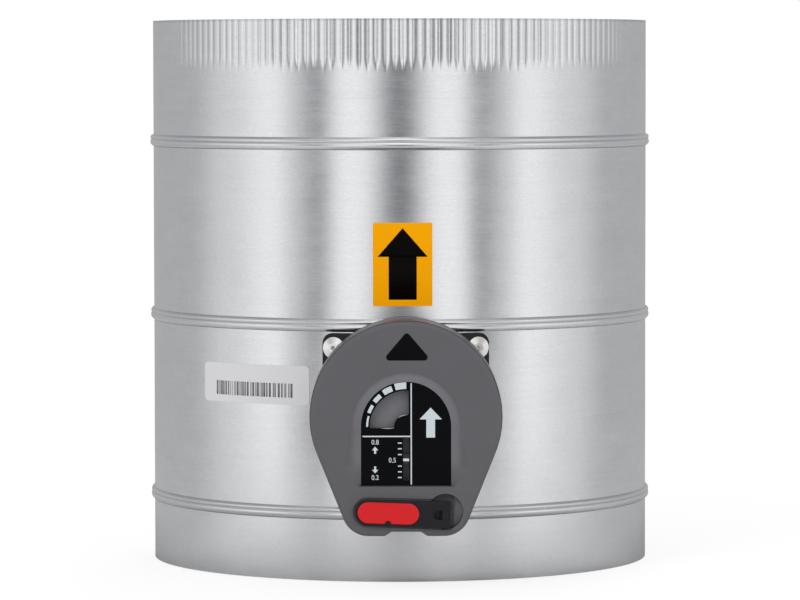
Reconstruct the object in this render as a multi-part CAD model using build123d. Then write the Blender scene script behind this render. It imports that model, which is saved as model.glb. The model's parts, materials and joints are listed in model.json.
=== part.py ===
from build123d import *
from math import acos, asin, cos, pi, radians, sin, sqrt, tan
import os

os.makedirs("parts", exist_ok=True)

# A round air damper: a galvanised duct standing on its plain inlet end, with a
# round blade on a cross shaft and a regulator head on the front, towards -Y.
# Z runs up the duct's axis in the direction of the air, in millimetres.

# Duct
duct_radius = 177.8
sheet = 0.8
duct_length = 386.4
crimp_length = 35.4
flute_count = 180
flute_depth = 1.0
bead_feet = (42.7, 172.1, 296.7)
lower_rib = 5.0
lower_rise = 2.3
upper_rib = 3.2
upper_rise = 2.2
crease_rise = 1.7

# Head, as offset from the duct's axis and depth from the duct's front
head_x = 4.1
head_depth = 52.2
lobe_height = 117.3
lobe_radius = 64.5
foot_spread = 25.6
foot_height = 54.5
foot_radius = 17.3
notch_mouth = 28.0
notch_floor = 20.0
notch_rise = 2.7
notch_cut = 5.0
cover_depth = 7.0
cover_skin = 2.5
cover_fillet = 2.4
case_lip = 0.7
case_wall = 2.5
case_inside = 34.0
case_reach = 80.0
boss_wall = 2.0
crank_boss = 7.0
track_lap = 1.2
boss_radius = 5.5
screw_radius = 1.55
screw_head = 3.6
screw_head_tall = 2.4
screw_cross = 3.6
screw_cross_width = 0.7
screw_spread = 29.0
screw_high = 134.0
screw_low = 78.0
hook_turns = (12, 90, 168)
hook_wall = 1.6
hook_width = 8.0
hook_reach = 7.5
hook_bite = 1.5
hook_root = 0.4
hook_barb = 2.5
hook_end = 0.5
hook_gap = 0.2

# Display in the cover
recess_depth = 3.0
recess_flare = 6.2
ledge_margin = 9.0
ledge_inset = 1.0
crank_wall = 2.0
flare_height = 84.0
panel_thick = 1.0
panel_half_width = 30.4
panel_foot = 71.0
window_radius = 24.5
window_hub = 8.1
window_right = 1.8
window_foot = 0.9
window_corner = 1.0
slot_width = 4.3
slot_low = 74.8
slot_high = 103.2
scale_middle = 88.45
marker_travel = 11.6
marker_height = 1.7
marker_play = 0.3
marker_sink = 0.2
floor_thick = 1.8

# Saddle plate and its rivets
saddle_thick = 3.5
saddle_half_width = 57.2
saddle_top = 171.0
saddle_waist = 90.0
saddle_foot = 57.0
saddle_foot_half = 40.0
saddle_corner = 7.0
rivet_high = 161.0
rivet_high_spread = 48.6
rivet_low = 69.0
rivet_low_spread = 29.0
rivet_flange = 7.45
rivet_edge = 0.5
rivet_crown = 1.6
rivet_clear = 1.0
rivet_dome = 2.0
rivet_shank = 2.4
rivet_mandrel = 1.6
rivet_bulb = 4.0
rivet_bulb_depth = 3.8

# Shaft and blade
shaft_height = 110.9
shaft_radius = 6.35
shaft_overhang = 8.0
shaft_end = 0.6
shaft_clear = 1.0
flat_sink = 1.0
bush_radius = 8.6
bush_flange = 12.5
bush_flange_thick = 2.0
bush_inner_stand = 3.0
ring_thick = 1.0
ring_radius = 9.5
ring_groove = 0.8
ring_play = 0.1
ring_mouth = 6.0
seal_thick = 3.0
seal_gap = 0.6
skin_thick = 1.2
skin_inset = 6.0
swage_radius = 120.0
swage_rise = 2.2
clamp_radius = 2.5
clamp_offset = 17.0
bolt_head = 4.6
bolt_head_tall = 2.8
bolt_over = 5.5
nut_reach = 4.0
clamp_stations = (-96.0, -32.0, 32.0, 96.0)
stop_reach = 4.4
stop_height = 12.0
stop_angle = 9.0

# Gear drive: crank pinion to spring drum, with the marker's spiral
gear_module = 1.5
pressure_angle = radians(25)
drum_teeth = 72
pinion_teeth = 12
backlash = 0.16
tooth_width = 6.0
crank_x = 26.4
drum_range = 120.0
drum_web = 3.0
drum_depth = 14.0
cup_radius = 48.6
cup_wall = 2.2
spiral_width = 3.8
spiral_cut = 1.8
spiral_over = 10.0
follower_radius = 1.4
spring_strip = 0.6
spring_width = 8.0
spring_turns = 4
spring_lift = 1.0
arbor_radius = 9.5
arbor_slit = 3.0
dial_thick = 1.0
dial_radius = 28.0
dial_hub = 8.6
needle_width = 1.6
needle_rise = 0.3
dial_cut = 2.2
dial_strip = 3.5
slider_thick = 1.6
slider_half = 4.0
slider_height = 7.0
rail_thick = 1.5
rail_low = 70.5
rail_high = 103.5

# Crank
crank_recess = 12.1
crank_disc = 11.5
crank_disc_thick = 1.6
crank_disc_right = 5.8
crank_shaft = 4.0
crank_flat = 2.8
crank_end = 1.2
pin_depth = -0.5
pin_radius = 1.25
pin_inset = 0.5
knuckle_inset = 0.2
tongue_radius = 3.1
arm_front = 3.9
arm_back = 0.3
arm_tip = 61.2
arm_tip_radius = 8.7
arm_half_width = 9.1
arm_drop = 2.07
arm_tilt = 2.0
arm_root = 4.0
arm_round = 0.8
fork_end = 3.5
fork_slot = 7.7
fork_corner = 2.8
badge_gap = 0.15
badge_length = 41.4
badge_width = 14.2
badge_x = -38.4
badge_rise = 0.6
badge_sink = 0.4
badge_drop = 0.75
badge_bite = 2.1
badge_round = 0.3
trough_depth = 1.0
trough_margin = 1.2

# Labels on the duct
label_thick = 0.25
arrow_width = 40.7
arrow_low = 189.7
arrow_high = 246.8
arrow_middle = 2.0
plain_width = 95.0
plain_low = 120.7
plain_high = 147.8
plain_to_saddle = 0.877  # across, from the white label's right end to the saddle's side

# Fits
fit_gap = 0.05
running_gap = 0.4
soft_gap = 0.3

# Working lengths of the solids that cut or join others
cut_past = 5.0
join_depth = 0.5
beyond = 600.0

# Values that follow from the sizes above
inner_radius = duct_radius - sheet
crimp_start = duct_length - crimp_length
saddle_radius = duct_radius + saddle_thick
face_y = -(duct_radius + head_depth)
head_plane = Plane(origin=(head_x, face_y, 0), x_dir=(1, 0, 0), z_dir=(0, -1, 0))
panel_back = recess_depth + panel_thick
floor_back = panel_back + floor_thick
slider_front = floor_back + running_gap
slider_back = slider_front + slider_thick
dial_front = slider_back + running_gap
dial_back = dial_front + dial_thick
drum_front = dial_back + running_gap
web_back = drum_front + drum_web
drum_back = drum_front + drum_depth
gear_spread = gear_module * (drum_teeth + pinion_teeth) / 2
crank_height = shaft_height - sqrt(gear_spread**2 - crank_x**2)
disc_front = fork_end + pin_depth + 2 * running_gap
disc_back = disc_front + crank_disc_thick
crank_recess_depth = disc_back + soft_gap
case_floor_back = case_inside + case_wall
lift_per_radian = marker_travel / radians(drum_range)
blade_radius = inner_radius - seal_gap
skin_radius = inner_radius - skin_inset
skin_top = seal_thick / 2 + skin_thick


def save(name, shape):
    """Writes one node of one or more solids."""
    export_step(shape, f"parts/{name}.step")


def group(solids):
    """Joins separate solids into one node."""
    return Compound(children=list(solids))


def layer(sketch, near, far):
    """A flat layer of the head, from depth near to depth far behind the cover's face."""
    return extrude(head_plane.offset(-far) * sketch, far - near)


def at_shaft(sketch):
    """Moves a sketch of the head to the blade shaft's axis."""
    return Pos(0, shaft_height) * sketch


def at_crank(sketch):
    """Moves a sketch of the head to the crank's axis."""
    return Pos(crank_x, crank_height) * sketch


def upright(radius, low=-beyond, high=beyond):
    """A solid cylinder on the duct's axis."""
    return Pos(0, 0, low) * extrude(Circle(radius), high - low)


def along_y(radius, front, back):
    """A solid cylinder on the blade shaft's axis, from y front to y back."""
    start = Plane(origin=(head_x, front, shaft_height), x_dir=(1, 0, 0), z_dir=(0, 1, 0))
    return extrude(start * Circle(radius), back - front)


def head_outline(grow):
    """The head's outline, grown outwards: a large lobe drawn down to two foot corners."""
    lobe = (Pos(0, lobe_height) * Circle(lobe_radius + grow)).edge()
    feet = [
        (Pos(side * foot_spread, foot_height) * Circle(foot_radius + grow)).edge()
        for side in (-1, 1)
    ]
    return make_hull([lobe] + feet)


def notch(grow):
    """The shallow notch in the bottom of the head, cut into its outline."""
    foot = foot_height - foot_radius
    corners = [
        (-notch_mouth / 2 - notch_cut - grow, foot - notch_cut),
        (notch_mouth / 2 + notch_cut + grow, foot - notch_cut),
        (notch_mouth / 2 + grow, foot),
        (notch_floor / 2 + grow, foot + notch_rise + grow),
        (-notch_floor / 2 - grow, foot + notch_rise + grow),
        (-notch_mouth / 2 - grow, foot),
    ]
    return make_face(Polyline(*corners, close=True))


def arch(half_width, foot, crown):
    """A window shape with a round crown on the shaft's axis and a straight foot."""
    body = Pos(0, (foot + shaft_height) / 2) * Rectangle(2 * half_width, shaft_height - foot)
    return body + at_shaft(Circle(crown))


def round_rectangle(width, low, high, corner):
    """A rectangle with round corners, centred across and set between two heights."""
    return Pos(0, (low + high) / 2) * RectangleRounded(width, high - low, corner)


# Duct


def wall_skin(radius):
    """The wall's line from the inlet up to the crimp, with two arcs for each bead."""
    edges = []
    height = 0.0
    for foot in bead_feet:
        crease = foot + lower_rib
        head = crease + upper_rib
        edges.append(Line((radius, height), (radius, foot)))
        middle = (radius + lower_rise, foot + lower_rib / 2)
        edges.append(ThreePointArc((radius, foot), middle, (radius + crease_rise, crease)))
        middle = (radius + upper_rise, crease + upper_rib / 2)
        edges.append(ThreePointArc((radius + crease_rise, crease), middle, (radius, head)))
        height = head
    edges.append(Line((radius, height), (radius, crimp_start)))
    return edges


def fluted_plug(radius):
    """A solid whose side runs from a circle up to the crimp's crests and roots."""
    step = pi / flute_count

    def spot(reach, k, height):
        return (reach * cos(k * step), reach * sin(k * step), height)

    arcs = [
        ThreePointArc(
            spot(radius, k, crimp_start),
            spot(radius, k + 0.5, crimp_start),
            spot(radius, k + 1, crimp_start),
        )
        for k in range(2 * flute_count)
    ]
    rim = [spot(radius - flute_depth * (k % 2), k, duct_length) for k in range(2 * flute_count)]
    return Solid.make_loft([Wire(arcs), Wire(Polyline(*rim, close=True).edges())], ruled=True)


def duct_shell():
    """The tube with its three beads and crimped outlet, bored for the bushes and rivets."""
    outer = wall_skin(duct_radius)
    inner = wall_skin(inner_radius)
    ends = [
        Line((inner_radius, 0), (duct_radius, 0)),
        Line((inner_radius, crimp_start), (duct_radius, crimp_start)),
    ]
    section = Plane.XZ * make_face(outer + inner + ends)
    tube = revolve(section, Axis.Z)
    tube -= along_y(bush_radius + fit_gap, -duct_radius - cut_past, duct_radius + cut_past)
    for hole in rivet_frames():
        tube -= extrude(hole * Circle(rivet_shank + fit_gap), cut_past, both=True)
    return tube + (fluted_plug(duct_radius) - fluted_plug(inner_radius))


def sheet_patch(outline, facing, radius, thick):
    """A curved patch on the duct: an outline pressed onto it along one direction."""
    across = (cos(facing), sin(facing), 0)
    outwards = (sin(facing), -cos(facing), 0)
    plane = Plane(origin=(0, 0, 0), x_dir=across, z_dir=outwards)
    seat = radius + fit_gap
    return extrude(plane * outline, beyond) & (upright(seat + thick) - upright(seat))


def labels():
    """The two bare labels stuck on the duct's front."""
    arrow = Pos(arrow_middle, 0) * round_rectangle(arrow_width, arrow_low, arrow_high, 1.0)
    save("arrow_label", sheet_patch(arrow, 0, duct_radius, label_thick))
    plain = round_rectangle(plain_width, plain_low, plain_high, 3.0)
    face = duct_radius + fit_gap + label_thick
    right_end = asin((saddle_half_width + plain_to_saddle) / face)
    facing = -right_end - asin(plain_width / 2 / face)
    save("plain_label", sheet_patch(plain, facing, duct_radius, label_thick))


# Saddle, rivets and bushes


def rivet_frames():
    """Planes on the duct's surface at the four rivets, facing outwards."""
    frames = []
    for spread, height in ((rivet_high_spread, rivet_high), (rivet_low_spread, rivet_low)):
        for side in (-1, 1):
            turn = asin((head_x + side * spread) / duct_radius)
            outwards = (sin(turn), -cos(turn), 0)
            place = (duct_radius * outwards[0], duct_radius * outwards[1], height)
            frames.append(Plane(origin=place, x_dir=(0, 0, 1), z_dir=outwards))
    return frames


def screw_spots():
    """Centres of the four screws that hold the case to the saddle."""
    return [
        (side * screw_spread, height)
        for side, height in ((-1, screw_high), (1, screw_high), (-0.5, screw_low), (0.5, screw_low))
    ]


def saddle_shape():
    """The saddle's outline seen from the front, tapered to stay behind the head."""
    corners = [
        (-saddle_half_width, saddle_top),
        (saddle_half_width, saddle_top),
        (saddle_half_width, saddle_waist),
        (saddle_foot_half, saddle_foot),
        (-saddle_foot_half, saddle_foot),
        (-saddle_half_width, saddle_waist),
    ]
    plate = make_face(Polyline(*corners, close=True))
    return fillet(plate.vertices(), saddle_corner)


def saddle():
    """A curved plate between the duct and the case, with a pad round the shaft."""
    reach = head_depth + duct_radius
    plate = layer(saddle_shape(), head_depth - saddle_thick - cut_past, reach)
    plate &= upright(saddle_radius) - upright(duct_radius)
    plate -= along_y(bush_radius + fit_gap, face_y, 0)
    for hole in rivet_frames():
        plate -= extrude(hole * Circle(rivet_shank + fit_gap), 2 * cut_past, both=True)
    for spot in screw_spots():
        plate -= layer(Pos(*spot) * Circle(screw_radius + fit_gap), 0, reach)
    return plate


def blind_rivet():
    """A large-flange blind rivet, with its axis on Z and its seat on the saddle."""
    seat = saddle_thick + fit_gap
    profile = [
        (rivet_mandrel, -sheet - rivet_bulb_depth),
        (rivet_shank, -sheet - rivet_bulb_depth),
        (rivet_bulb, -sheet - 0.6 * rivet_bulb_depth),
        (rivet_bulb, -sheet - 0.3 * rivet_bulb_depth),
        (rivet_shank, -sheet - fit_gap),
        (rivet_shank, seat),
        (rivet_flange, seat),
        (rivet_flange, seat + rivet_edge),
        (rivet_mandrel + rivet_crown, seat + rivet_dome),
        (rivet_mandrel, seat + rivet_dome),
    ]
    half = Plane.XZ * make_face(Polyline(*profile, close=True))
    return revolve(half, Axis.Z)


def fasten_saddle():
    """The four rivets that fix the saddle to the duct."""
    rivets = [frame.location * blind_rivet() for frame in rivet_frames()]
    save("saddle_rivets", group(rivets))


def bushes():
    """Plain bearings for the blade shaft in the front and the back of the duct."""
    bore = along_y(shaft_radius + fit_gap, face_y, -face_y)
    seat = face_y + case_floor_back
    front = along_y(bush_flange, seat, seat + bush_flange_thick)
    front += along_y(bush_radius, seat, -inner_radius + bush_inner_stand)
    save("front_bush", front - bore)
    back = along_y(bush_flange, duct_radius - bush_flange_thick, duct_radius + bush_flange_thick)
    back = (back - upright(duct_radius)) + along_y(
        bush_radius, inner_radius - bush_inner_stand, duct_radius + bush_flange_thick
    )
    save("back_bush", back - bore)


def blade_stops():
    """Two welded clips that the closed blade rests against, one side below, one above."""
    clips = []
    for side in (-1, 1):
        gap = seal_thick / 2 + soft_gap
        near = side * gap
        profile = [
            (inner_radius, near),
            (inner_radius - stop_reach, near),
            (inner_radius - stop_reach, near + side * skin_thick),
            (inner_radius - skin_thick, near + side * skin_thick),
            (inner_radius - skin_thick, near + side * stop_height),
            (inner_radius, near + side * stop_height),
        ]
        half = Plane.XZ * make_face(Polyline(*profile, close=True))
        start = -stop_angle / 2 if side > 0 else 180 - stop_angle / 2
        clip = Rot(0, 0, start) * revolve(half, Axis.Z, stop_angle)
        clips.append(Pos(0, 0, shaft_height) * clip)
    save("blade_stops", group(clips))


# Case and cover


def catch_frames():
    """Places on the head's wall where the cover's hooks snap in: angle and centre."""
    frames = [(turn, (0, lobe_height), lobe_radius) for turn in hook_turns]
    frames.append((270, (0, foot_height), foot_radius - notch_rise))
    return frames


def hook(grow):
    """The four hooks behind the cover's rim, grown for the pockets that take them."""
    hooks = Part()
    width = hook_width + 2 * grow
    for turn, centre, radius in catch_frames():
        place = Pos(*centre) * Rot(0, 0, turn)
        inside = radius - cover_skin - hook_wall

        def bar(reach, near, far):
            thick = hook_wall + reach + grow
            return layer(place * Pos(inside + thick / 2, 0) * Rectangle(thick, width), near, far)

        hooks += bar(hook_root - grow, cover_skin - join_depth, cover_depth)
        hooks += bar(0, cover_depth - fit_gap, cover_depth + hook_reach + grow)
        barb = cover_depth + hook_reach - hook_end
        hooks += bar(hook_bite, barb - hook_barb - grow, barb + grow)
    return hooks


def rear_case():
    """The grey case: a walled cup on the saddle, with a floor, bosses and drum track."""
    body = layer(head_outline(case_lip) - notch(0.0), cover_depth, case_reach)
    hollow = head_outline(case_lip - case_wall) - notch(case_wall)
    case = body - layer(hollow, cover_depth - cut_past, case_inside)
    case -= layer(hollow, case_floor_back, case_reach + cut_past)
    for spot in screw_spots():
        case += layer(Pos(*spot) * Circle(boss_radius), case_floor_back - join_depth, case_reach)
    case += layer(at_shaft(Circle(bush_flange + boss_wall)), case_floor_back - join_depth, case_reach)
    bearing = at_crank(Circle(crank_shaft + case_wall))
    case += layer(bearing, case_inside - crank_boss, case_inside + join_depth)
    track = Circle(cup_radius - cup_wall - running_gap)
    track -= Circle(cup_radius - 2 * cup_wall - running_gap)
    case += layer(at_shaft(track), drum_back - track_lap, case_inside + join_depth)
    case -= upright(saddle_radius)
    case -= along_y(bush_flange + fit_gap, face_y + case_floor_back, 0)
    case -= along_y(shaft_radius + shaft_clear, face_y, 0)
    case -= layer(at_crank(Circle(crank_shaft + fit_gap)), 0, case_inside + crank_end + soft_gap)
    for spot in screw_spots():
        case -= layer(Pos(*spot) * Circle(screw_radius + running_gap), case_inside - join_depth, case_reach)
    for frame in rivet_frames():
        case -= extrude(frame * Circle(rivet_flange + rivet_clear), saddle_thick + rivet_dome + rivet_clear)
    return case - hook(hook_gap)


def case_screws():
    """Pan-head screws from the case's floor down into the saddle."""
    screws = []
    for x, z in screw_spots():
        nearest = max(0, abs(head_x + x) - screw_radius)
        tip = -sqrt(duct_radius**2 - nearest**2) - running_gap
        screw = layer(Pos(x, z) * Circle(screw_radius), case_inside - join_depth, tip - face_y)
        head = layer(Pos(x, z) * Circle(screw_head), case_inside - screw_head_tall, case_inside)
        head = fillet(head.edges().sort_by(Axis.Y)[0], screw_head_tall / 2)
        cross = Rectangle(screw_cross, screw_cross_width) + Rectangle(screw_cross_width, screw_cross)
        screw += head - layer(Pos(x, z) * cross, case_inside - cut_past, case_inside - screw_head_tall / 2)
        screws.append(screw)
    save("case_screws", group(screws))


def recess_edges(half_width, foot, flare):
    """Six edges of the display recess: an arch, two sides that flare, and a foot."""
    reach = half_width + flare
    low = foot - min(flare, 0.5)
    corner = half_width + flare / 3
    knee = half_width + flare * 1.95
    crown = (-reach, shaft_height), (0, shaft_height + reach), (reach, shaft_height)
    return [
        ThreePointArc(*crown),
        Line((reach, shaft_height), (knee, flare_height)),
        Line((knee, flare_height), (corner, low)),
        Line((corner, low), (-corner, low)),
        Line((-corner, low), (-knee, flare_height)),
        Line((-knee, flare_height), (-reach, shaft_height)),
    ]


def display_recess():
    """The sloping recess round the display, from the panel's edge out to the face."""
    inner = make_face(recess_edges(panel_half_width + fit_gap, panel_foot - fit_gap, 0))
    outer = make_face(recess_edges(panel_half_width, panel_foot, recess_flare))
    bottom = head_plane.offset(-recess_depth) * inner
    top = head_plane * outer
    slope = loft([bottom, top], ruled=True)
    return slope + layer(inner, recess_depth - 0.01, panel_back)


def window_shape():
    """The quarter window over the dial, with the shaft's hub left in its corner."""
    quarter = Circle(window_radius) & Pos(
        window_right - window_radius, window_radius - window_foot
    ) * Rectangle(2 * window_radius, 2 * window_radius)
    return at_shaft(fillet((quarter - Circle(window_hub)).vertices(), window_corner))


def slot_shape(grow):
    """The upright slot for the pressure marker."""
    middle = (slot_low + slot_high) / 2
    return Pos(0, middle) * Rectangle(slot_width + 2 * grow, slot_high - slot_low + 2 * grow)


def arm_shape(grow):
    """The crank arm's outline, with a round tip to the left and a square fork end."""
    tip = Pos(-arm_tip + arm_tip_radius, 0) * Circle(arm_tip_radius + grow)
    root = Pos(fork_end - arm_root / 2, 0)
    root *= Rectangle(arm_root + 2 * grow, 2 * arm_half_width + 2 * grow)
    blade = make_hull([tip.edge()] + list(root.edges()))
    return at_crank(Pos(0, -arm_drop) * Rot(0, 0, -arm_tilt) * blade)


def front_cover():
    """The cover: a dished face with the display recess, crank recess and hooks."""
    cover = layer(head_outline(0) - notch(0.0), 0, cover_depth)
    front = cover.faces().sort_by(Axis.Y)[0]
    cover = fillet(front.outer_wire().edges(), cover_fillet)
    hollow = head_outline(-cover_skin) - notch(cover_skin)
    cover -= layer(hollow, cover_skin, cover_depth + cut_past)
    ledge_reach = panel_half_width + ledge_margin
    ledge = arch(ledge_reach, panel_foot - ledge_margin / 3, ledge_reach)
    cover += layer(ledge & head_outline(-ledge_inset), cover_skin - join_depth, floor_back)
    cup = at_crank(Circle(crank_recess + crank_wall))
    cover += layer(cup, cover_skin - join_depth, crank_recess_depth + crank_wall)
    cover -= display_recess()
    cover -= layer(window_shape(), 0, floor_back + cut_past)
    cover -= layer(slot_shape(0), 0, floor_back + cut_past)
    cover -= layer(at_crank(Circle(crank_recess)), -cut_past, crank_recess_depth)
    cover -= layer(at_crank(Circle(crank_shaft + fit_gap)), 0, floor_back + cut_past)
    cover -= layer(arm_shape(trough_margin), -cut_past, trough_depth)
    for side in (-1, 1):
        rail = Pos(side * (slider_half + soft_gap + rail_thick / 2), (rail_low + rail_high) / 2)
        rail *= Rectangle(rail_thick, rail_high - rail_low)
        cover += layer(rail, floor_back - join_depth, slider_back)
    return cover + hook(0)


def display_panel():
    """The thin printed panel on the recess floor, with the window and slot cut in it."""
    plate = make_face(recess_edges(panel_half_width, panel_foot, 0))
    plate -= window_shape()
    plate -= slot_shape(0)
    return layer(plate, recess_depth, panel_back)


# Blade and shaft


def blade_shaft():
    """The cross shaft, grooved for its two retaining rings, with a flat for the dial."""
    front = face_y + dial_front - shaft_end
    back = duct_radius + shaft_overhang
    shaft = along_y(shaft_radius, front, back)
    for groove in ring_places():
        cut = along_y(shaft_radius + shaft_clear, groove - ring_play, groove + ring_thick + ring_play)
        shaft -= cut - along_y(shaft_radius - ring_groove, groove - cut_past, groove + cut_past)
    shaft = chamfer(shaft.edges().group_by(Axis.Y)[-1], 0.8)
    level = shaft_height + shaft_radius - flat_sink + cut_past
    reach = shaft_end + dial_thick + ring_play
    return shaft - Pos(head_x, front, level) * Box(4 * shaft_radius, 2 * reach, 2 * cut_past)


def ring_places():
    """Front faces of the retaining rings: inside the head, and behind the duct."""
    inside = face_y + case_inside - running_gap - ring_thick
    behind = duct_radius + bush_flange_thick + running_gap
    return (inside, behind)


def shaft_rings():
    """Two open retaining rings in the shaft's grooves."""
    rings = []
    for place in ring_places():
        ring = along_y(ring_radius, place, place + ring_thick)
        ring -= along_y(shaft_radius - ring_groove + fit_gap, place - cut_past, place + cut_past)
        gap = Pos(head_x, place, shaft_height - ring_radius) * Box(ring_mouth, cut_past, 1.6 * ring_radius)
        rings.append(ring - gap)
    save("shaft_rings", group(rings))


def blade_slab(radius, low, high):
    """A disc of the blade between two heights above the shaft's axis."""
    return upright(radius, shaft_height + low, shaft_height + high)


def clamp_spots():
    """Centres of the blade's clamping bolts, in two rows beside the shaft."""
    return [(head_x + side * clamp_offset, y) for side in (-1, 1) for y in clamp_stations]


def blade_skin(side):
    """One steel disc of the blade, pressed to a half-round channel over the shaft."""
    low, high = sorted((side * seal_thick / 2, side * skin_top))
    skin = blade_slab(skin_radius, low, high)
    channel_radius = shaft_radius + fit_gap + skin_thick
    half = Pos(0, 0, shaft_height + side * (seal_thick + beyond) / 2) * Box(beyond, beyond, beyond)
    channel = along_y(channel_radius, -duct_radius, duct_radius) & half
    skin += channel & upright(skin_radius)
    swage = Pos(swage_radius, side * skin_top) * Circle(swage_rise)
    swage = revolve(Plane.XZ * swage, Axis.Z)
    ridge = sorted((side * seal_thick / 2, side * (skin_top + cut_past)))
    skin += (Pos(0, 0, shaft_height) * swage) & blade_slab(skin_radius, *ridge)
    skin -= along_y(shaft_radius + fit_gap, -duct_radius, duct_radius)
    for x, y in clamp_spots():
        skin -= Pos(x, y, shaft_height) * Cylinder(clamp_radius + fit_gap, 4 * cut_past)
    return skin


def blade_seal():
    """The rubber disc between the two skins, in two halves beside the shaft."""
    half = seal_thick / 2
    seal = blade_slab(blade_radius, -half, half)
    slot = 2 * (shaft_radius + soft_gap)
    seal -= Pos(head_x, 0, shaft_height) * Box(slot, beyond, 2 * cut_past)
    bush_end = inner_radius - bush_inner_stand - soft_gap
    seal -= along_y(bush_radius + soft_gap, -duct_radius, -bush_end)
    seal -= along_y(bush_radius + soft_gap, bush_end, duct_radius)
    for x, y in clamp_spots():
        seal -= Pos(x, y, shaft_height) * Cylinder(clamp_radius + fit_gap, 4 * cut_past)
    save("blade_seal", group(seal.solids()))


def blade_clamps():
    """Bolts and nuts that squeeze the two skins onto the seal and the shaft."""
    bolts = []
    nuts = []
    for x, y in clamp_spots():
        shank = Pos(x, y, shaft_height) * extrude(Circle(clamp_radius), skin_top + join_depth)
        shank += Pos(x, y, shaft_height - skin_top - bolt_over) * extrude(
            Circle(clamp_radius), skin_top + bolt_over
        )
        head = Pos(x, y, shaft_height + skin_top) * extrude(Circle(bolt_head), bolt_head_tall)
        bolts.append(shank + fillet(head.edges().sort_by(Axis.Z)[-1], bolt_head_tall / 2))
        hexagon = RegularPolygon(nut_reach, 6, major_radius=False)
        nut = extrude(hexagon - Circle(clamp_radius + fit_gap), nut_reach)
        nuts.append(Pos(x, y, shaft_height - skin_top - nut_reach) * nut)
    save("blade_bolts", group(bolts))
    save("blade_nuts", group(nuts))


def position_dial():
    """The grey dial on the shaft's end: a half disc with a raised needle."""
    keep = Pos(-dial_radius - dial_cut, 0) * Rectangle(2 * dial_radius, 2 * dial_radius)
    strip = Pos((dial_strip - dial_cut) / 2, dial_radius / 2)
    strip *= Rectangle(dial_strip + dial_cut, dial_radius)
    disc = (Circle(dial_radius) & (keep + strip)) + Circle(dial_hub)
    socket = Circle(shaft_radius + fit_gap)
    level = shaft_radius - flat_sink + fit_gap + cut_past
    socket -= Pos(0, level) * Rectangle(4 * shaft_radius, 2 * cut_past)
    dial = layer(at_shaft(disc - socket), dial_front, dial_back)
    needle = window_radius - dial_hub + 2 * join_depth
    bar = Pos(-dial_hub - join_depth - needle / 2, 0) * Rectangle(needle, needle_width)
    dial += layer(at_shaft(bar), dial_front - needle_rise, dial_front + fit_gap)
    return dial


def spring_arbor():
    """The sleeve on the shaft that holds the spring's inner end."""
    sleeve = Circle(arbor_radius) - Circle(shaft_radius + fit_gap)
    arbor = layer(at_shaft(sleeve), web_back + running_gap, web_back + spring_width + 2 * spring_lift)
    slit = Pos(-arbor_radius, 0) * Rectangle(arbor_slit, spring_strip + running_gap)
    return arbor - layer(at_shaft(slit), web_back, web_back + spring_width + cut_past)


# Gear drive


def gear_outline(teeth, first_tooth):
    """A spur gear: each tooth has two involute flanks between root and tip."""
    pitch = gear_module * teeth / 2
    base = pitch * cos(pressure_angle)
    tip = pitch + gear_module
    root = pitch - 1.25 * gear_module
    start = max(base, root)
    half_at_pitch = pi / (2 * teeth) - backlash / (2 * pitch)

    def half_tooth(radius):
        tilt = acos(min(1.0, base / radius))
        involute = tan(tilt) - tilt
        return half_at_pitch + tan(pressure_angle) - pressure_angle - involute

    radii = [start + (tip - start) * k / 3 for k in range(4)]
    points = []
    for k in range(teeth):
        middle = first_tooth + 2 * pi * k / teeth
        rising = [(r, middle - half_tooth(r)) for r in radii]
        falling = [(r, middle + half_tooth(r)) for r in reversed(radii)]
        side = half_tooth(start)
        if root < start:
            rising.insert(0, (root, middle - side))
            falling.append((root, middle + side))
        points += [(r * cos(a), r * sin(a)) for r, a in rising + falling]
    return make_face(Polyline(*points, close=True))


def mesh_angle():
    """The direction from the blade shaft to the crank, in the head's plane."""
    return -acos(crank_x / gear_spread)


def spiral_groove():
    """The band of an evenly opening spiral under the marker's follower."""
    middle = shaft_height - scale_middle
    reach = radians(drum_range + spiral_over)
    steps = 24

    def line(offset):
        spots = []
        for k in range(steps + 1):
            turn = -reach + 2 * reach * k / steps
            radius = middle - lift_per_radian * turn + offset
            spots.append((radius * sin(turn), -radius * cos(turn)))
        return spots

    outer = line(spiral_width / 2)
    inner = line(-spiral_width / 2)
    edges = [Spline(*outer), Spline(*inner), Line(outer[0], inner[0]), Line(outer[-1], inner[-1])]
    return at_shaft(make_face(edges))


def spring_drum():
    """The toothed drum: a geared web with the marker's spiral, and the spring's cup."""
    tooth_pitch = 2 * pi / drum_teeth
    gear = at_shaft(gear_outline(drum_teeth, mesh_angle() + tooth_pitch / 2))
    drum = layer(gear, drum_front, drum_front + tooth_width)
    hollow = Circle(cup_radius - cup_wall)
    drum += layer(at_shaft(Circle(cup_radius)), drum_front + 1, drum_back)
    drum -= layer(at_shaft(hollow), web_back, drum_back + cut_past)
    drum -= layer(spiral_groove(), drum_front - cut_past, drum_front + spiral_cut)
    return drum - layer(at_shaft(Circle(shaft_radius + fit_gap)), 0, drum_back)


def clock_spring():
    """The flat spiral spring, wound from the arbor out to the drum's wall."""
    start = arbor_radius + soft_gap
    end = cup_radius - cup_wall - spring_strip - soft_gap
    steps = 14 * spring_turns

    def line(offset):
        spots = []
        for k in range(steps + 1):
            share = k / steps
            turn = pi + 2 * pi * spring_turns * share
            radius = start + (end - start) * share + offset
            spots.append((radius * cos(turn), radius * sin(turn)))
        return spots

    inner = line(0)
    outer = line(spring_strip)
    edges = [Spline(*inner), Spline(*outer), Line(inner[0], outer[0]), Line(inner[-1], outer[-1])]
    return layer(at_shaft(make_face(edges)), web_back + spring_lift, web_back + spring_lift + spring_width)


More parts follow.
